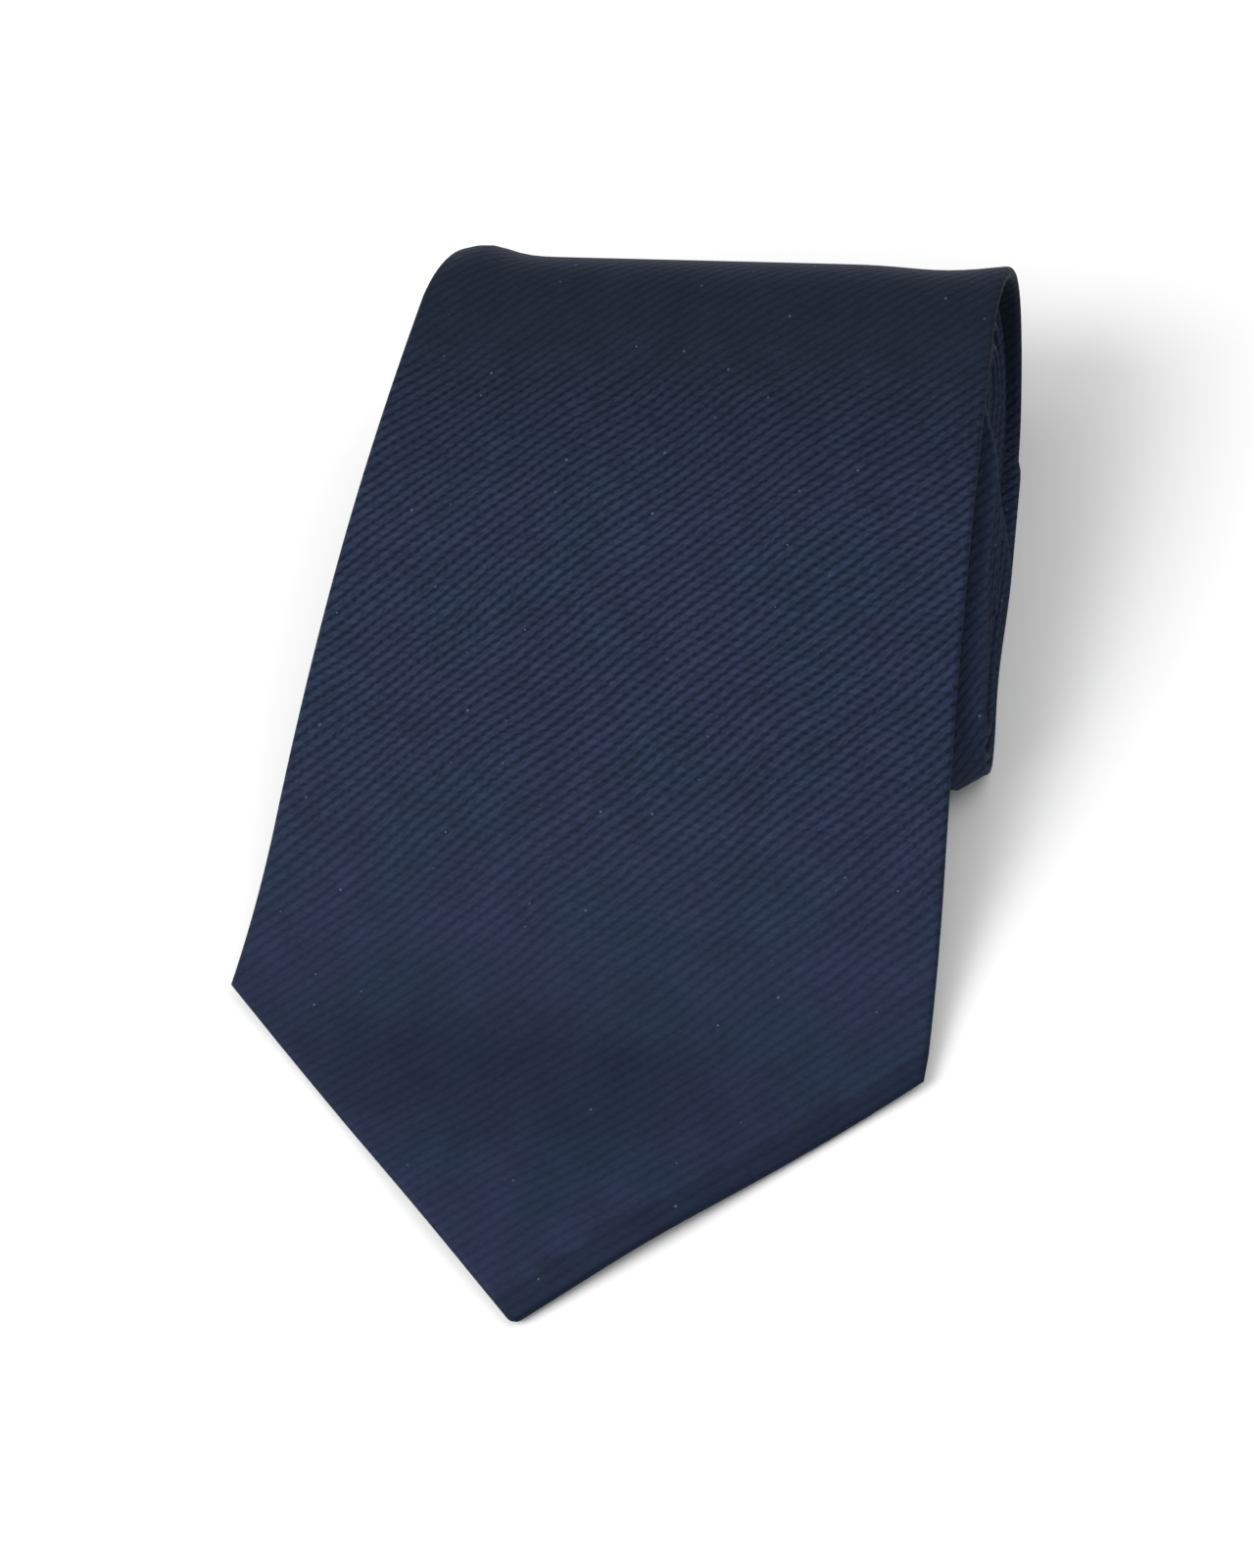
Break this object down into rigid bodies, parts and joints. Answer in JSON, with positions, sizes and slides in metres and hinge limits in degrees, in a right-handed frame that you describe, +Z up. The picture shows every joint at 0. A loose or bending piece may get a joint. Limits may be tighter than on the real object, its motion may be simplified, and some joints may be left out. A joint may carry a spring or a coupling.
{
  "type": "necktie",
  "caption": "Rolled-up necktie in navy diagonal-ribbed cloth: folded blade with a pointed end lying over a flattened roll, lined and interlined, with keeper loop and blank labels.",
  "frame": {"origin": "middle of the bounding box's base: the table plane under the rolled tie", "axes": "+Y from the blade's point towards the fold at the back of the roll, +X across the tie to its right when the point is towards the viewer, +Z up off the table"},
  "size_m": [0.0866, 0.1446, 0.028],
  "materials": {
    "face_cloth": "diagonal rib weave, soft sheen",
    "interlining": "brushed wool, matt",
    "tipping_satin": "satin lining",
    "name_label": "blank woven damask label",
    "care_label": "blank satin ribbon label",
    "thread": "sewing thread"
  },
  "bodies": {
    "roll": {"blade_panel_roll": "face_cloth", "neck_panel": "face_cloth", "tail_panel": "face_cloth", "interlining_roll": "interlining", "tail_tipping": "tipping_satin", "slip_stitch_roll": "thread"},
    "flap": {"blade_panel_flap": "face_cloth", "interlining_flap": "interlining", "blade_tipping_flap": "tipping_satin", "slip_stitch_flap": "thread", "blade_bar_tack": "thread", "name_label": "name_label", "name_label_stitch_left": "thread", "name_label_stitch_right": "thread", "keeper_loop": "face_cloth", "keeper_tack_left": "thread", "keeper_tack_right": "thread", "care_label": "care_label", "care_label_stitch": "thread"},
    "tip": {"blade_panel_tip": "face_cloth", "interlining_tip": "interlining", "blade_tipping_tip": "tipping_satin"}
  },
  "joints": [
    {"name": "flap_lift", "type": "hinge", "parent": "roll", "child": "flap", "pos_m": [0, 0.05672, 0.02802], "axis": [-1, 0, 0], "range_deg": [0, 110]},
    {"name": "tip_curl", "type": "hinge", "parent": "flap", "child": "tip", "pos_m": [0, -0.02656, 0.00408], "axis": [-1, 0, 0], "range_deg": [0, 60]}
  ]
}
